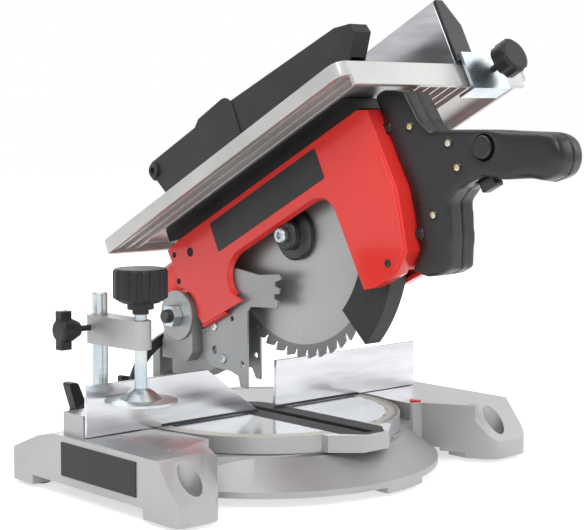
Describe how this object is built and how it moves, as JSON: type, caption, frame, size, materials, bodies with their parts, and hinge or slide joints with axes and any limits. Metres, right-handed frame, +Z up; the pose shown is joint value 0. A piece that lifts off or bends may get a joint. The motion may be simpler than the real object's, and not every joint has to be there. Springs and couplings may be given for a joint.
{
  "type": "combination mitre saw",
  "caption": "Bench mitre saw with turning table, tilting chop head, red blade cover, upper ribbed saw table with hood and rip fence, and a screw hold-down clamp.",
  "frame": {"origin": "centre of the whole bounding box in plan, on the bench under the rubber feet", "axes": "+X to the operator's right along the fence, +Y away from the operator, +Z up"},
  "size_m": [0.4015, 0.4951, 0.3999],
  "materials": {
    "cast_aluminium": "satin silver-grey as-cast",
    "milled_aluminium": "machined bright",
    "ribbed_table": "satin with fine ribs underneath",
    "red_shell": "glossy red",
    "grey_plate": "satin light grey",
    "dark_steel": "satin dark grey",
    "bright_steel": "ground bright",
    "zinc_steel": "zinc plated, bluish",
    "black_plastic": "satin black",
    "dark_plastic": "matte dark grey",
    "red_plastic": "satin red",
    "rubber": "matte black",
    "motor_core": "dark laminated"
  },
  "bodies": {
    "base": {"base_casting": "cast_aluminium", "rubber_foot_front_left": "rubber", "rubber_foot_front_right": "rubber", "rubber_foot_rear_left": "rubber", "rubber_foot_rear_right": "rubber", "fence_left": "milled_aluminium", "fence_right": "milled_aluminium", "capacity_plate": "dark_plastic", "mitre_pointer": "red_plastic", "clamp_post": "zinc_steel"},
    "turntable": {"turntable": "milled_aluminium", "kerf_insert": "dark_plastic", "turntable_pivot_bolt": "bright_steel", "bevel_quadrant": "dark_steel", "tilt_pivot_bolt": "bright_steel"},
    "bevel_lever": {"bevel_lock_lever": "black_plastic"},
    "tilt_arm": {"tilt_arm": "cast_aluminium", "guard_plate_left": "grey_plate", "guard_plate_right": "grey_plate", "head_pivot_bolt": "dark_steel", "pivot_washer": "grey_plate", "pivot_nut": "zinc_steel"},
    "head": {"red_cover": "red_shell", "blade_housing": "red_shell", "riving_knife": "bright_steel", "table_carrier": "black_plastic", "upper_table": "ribbed_table", "table_insert": "dark_plastic", "gear_case": "cast_aluminium", "motor_housing": "black_plastic", "motor_stator": "motor_core", "motor_end_cap": "black_plastic", "spindle_bearing": "bright_steel", "handle_left": "black_plastic", "handle_right": "black_plastic", "dust_port": "red_plastic", "hood_bolt": "black_plastic"},
    "blade": {"saw_blade": "bright_steel", "inner_flange": "dark_steel", "outer_flange": "dark_steel", "spindle": "bright_steel", "arbor_screw": "zinc_steel", "spindle_gear": "bright_steel"},
    "rotor": {"motor_shaft": "bright_steel", "motor_rotor": "motor_core"},
    "moving_guard": {"moving_guard": "dark_plastic"},
    "trigger": {"trigger": "black_plastic"},
    "lock_off": {"lock_off_button": "dark_plastic"},
    "upper_hood": {"upper_hood": "dark_plastic"},
    "rip_fence": {"rip_fence": "milled_aluminium", "rip_fence_cap": "black_plastic", "rip_clamp": "zinc_steel"},
    "rip_knob": {"rip_fence_knob": "black_plastic"},
    "clamp_arm": {"clamp_arm": "cast_aluminium"},
    "clamp_arm_knob": {"clamp_arm_knob": "black_plastic"},
    "clamp_screw": {"clamp_screw": "zinc_steel", "clamp_knob": "black_plastic", "clamp_foot": "zinc_steel"},
    "post_knob": {"clamp_post_knob": "black_plastic"}
  },
  "joints": [
    {"name": "mitre", "type": "hinge", "parent": "base", "child": "turntable", "pos_m": [0, 0.081, 0.05], "axis": [0, 0, 1], "range_deg": [-45, 45]},
    {"name": "bevel_lock", "type": "hinge", "parent": "turntable", "child": "bevel_lever", "pos_m": [0, 0.231, 0.05], "axis": [0, 1, 0], "range_deg": [-25, 10]},
    {"name": "bevel", "type": "hinge", "parent": "turntable", "child": "tilt_arm", "pos_m": [0, 0.081, 0.05], "axis": [0, -1, 0], "range_deg": [0, 20]},
    {"name": "chop", "type": "hinge", "parent": "tilt_arm", "child": "head", "pos_m": [0, 0.1715, 0.1262], "axis": [1, 0, 0], "range_deg": [0, 27], "stiffness_Nm_per_rad": 14, "springref_deg": -57.3},
    {"name": "blade_spin", "type": "hinge", "parent": "head", "child": "blade", "pos_m": [0, 0.03793, 0.20548], "axis": [1, 0, 0], "continuous": true},
    {"name": "rotor_spin", "type": "hinge", "parent": "head", "child": "rotor", "pos_m": [0, 0.07224, 0.20562], "axis": [1, 0, 0], "continuous": true},
    {"name": "guard_swing", "type": "hinge", "parent": "head", "child": "moving_guard", "pos_m": [0, 0.03793, 0.20548], "axis": [-1, 0, 0], "range_deg": [0, 42]},
    {"name": "trigger_pull", "type": "slide", "parent": "head", "child": "trigger", "axis": [0, 0.454, 0.891], "range_m": [0, 0.003], "stiffness_N_per_m": 400, "springref_m": -0.003},
    {"name": "lock_off_press", "type": "slide", "parent": "head", "child": "lock_off", "axis": [1, 0, 0], "range_m": [0, 0.002], "stiffness_N_per_m": 300, "springref_m": -0.002},
    {"name": "hood_lift", "type": "hinge", "parent": "head", "child": "upper_hood", "pos_m": [0, 0.22211, 0.25417], "axis": [-1, 0, 0], "range_deg": [0, 35]},
    {"name": "rip_slide", "type": "slide", "parent": "head", "child": "rip_fence", "axis": [1, 0, 0], "range_m": [-0.045, 0.028]},
    {"name": "rip_knob_turn", "type": "hinge", "parent": "rip_fence", "child": "rip_knob", "pos_m": [0.099, -0.10207, 0.34921], "axis": [0, 0.891, -0.454], "continuous": true},
    {"name": "clamp_arm_slide", "type": "slide", "parent": "base", "child": "clamp_arm", "axis": [0, 0, 1], "range_m": [-0.02, 0.012]},
    {"name": "clamp_arm_knob_turn", "type": "hinge", "parent": "clamp_arm", "child": "clamp_arm_knob", "pos_m": [-0.198, 0.103, 0.135], "axis": [1, 0, 0], "continuous": true},
    {"name": "clamp_screw_slide", "type": "slide", "parent": "clamp_arm", "child": "clamp_screw", "axis": [0, 0, 1], "range_m": [-0.0045, 0.025]},
    {"name": "post_knob_turn", "type": "hinge", "parent": "base", "child": "post_knob", "pos_m": [-0.158, 0.13, 0.059], "axis": [0, 1, 0], "range_deg": [-35, 35]}
  ],
  "couplings": [
    {"joint": "rotor_spin", "follows": "blade_spin", "ratio": -3.2505},
    {"joint": "guard_swing", "follows": "chop", "ratio": 1.5556}
  ]
}
